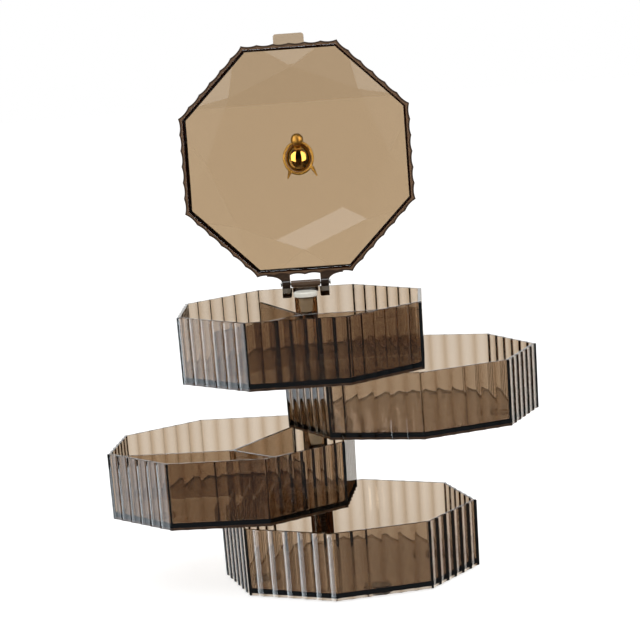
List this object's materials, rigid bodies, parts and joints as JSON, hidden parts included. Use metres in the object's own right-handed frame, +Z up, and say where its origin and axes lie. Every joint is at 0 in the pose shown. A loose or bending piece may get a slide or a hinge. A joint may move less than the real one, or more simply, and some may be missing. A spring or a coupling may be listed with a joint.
{
  "type": "rotating jewelry box",
  "caption": "Stacked octagonal trays of clear tea-brown plastic that swing out round one corner spindle, with a faceted hinged lid and a gold knob.",
  "frame": {"origin": "on the spindle's axis, at the level of the surface that the box stands on", "axes": "+Z up along the spindle; -Y towards the pictured front; +X towards the right-hand tray"},
  "size_m": [0.2299, 0.1692, 0.2804],
  "materials": {
    "tea_plastic": "clear, tinted tea brown, high gloss",
    "ivory_plastic": "opaque ivory, smooth moulded",
    "bright_steel": "bright drawn rod",
    "polished_gold": "polished, gold plated",
    "soft_pad": "matte"
  },
  "bodies": {
    "base": {"tray_4": "tea_plastic", "hub_bush_4": "ivory_plastic", "spindle_rod": "bright_steel", "spindle_cap": "ivory_plastic", "hub_pad": "soft_pad", "foot_pad_1": "soft_pad", "foot_pad_2": "soft_pad", "foot_pad_3": "soft_pad"},
    "lower_tray": {"tray_3": "tea_plastic", "divider_3": "tea_plastic", "hub_bush_3": "ivory_plastic"},
    "upper_tray": {"tray_2": "tea_plastic", "hub_bush_2": "ivory_plastic"},
    "top_tray": {"tray_1": "tea_plastic", "divider_1": "tea_plastic"},
    "lid": {"lid_shell": "tea_plastic", "hinge_pin": "bright_steel", "knob_ring": "polished_gold", "knob_ball": "polished_gold"}
  },
  "joints": [
    {"name": "lower_tray_swing", "type": "hinge", "parent": "base", "child": "lower_tray", "pos_m": [0, 0, 0.054], "axis": [0, 0, 1], "continuous": true},
    {"name": "upper_tray_swing", "type": "hinge", "parent": "base", "child": "upper_tray", "pos_m": [0, 0, 0.09], "axis": [0, 0, 1], "continuous": true},
    {"name": "top_tray_swing", "type": "hinge", "parent": "base", "child": "top_tray", "pos_m": [0, 0, 0.126], "axis": [0, 0, 1], "continuous": true},
    {"name": "lid_hinge", "type": "hinge", "parent": "top_tray", "child": "lid", "pos_m": [0.00054, 0.01069, 0.14575], "axis": [0.9987, -0.0506, 0], "range_deg": [0, 93]}
  ]
}
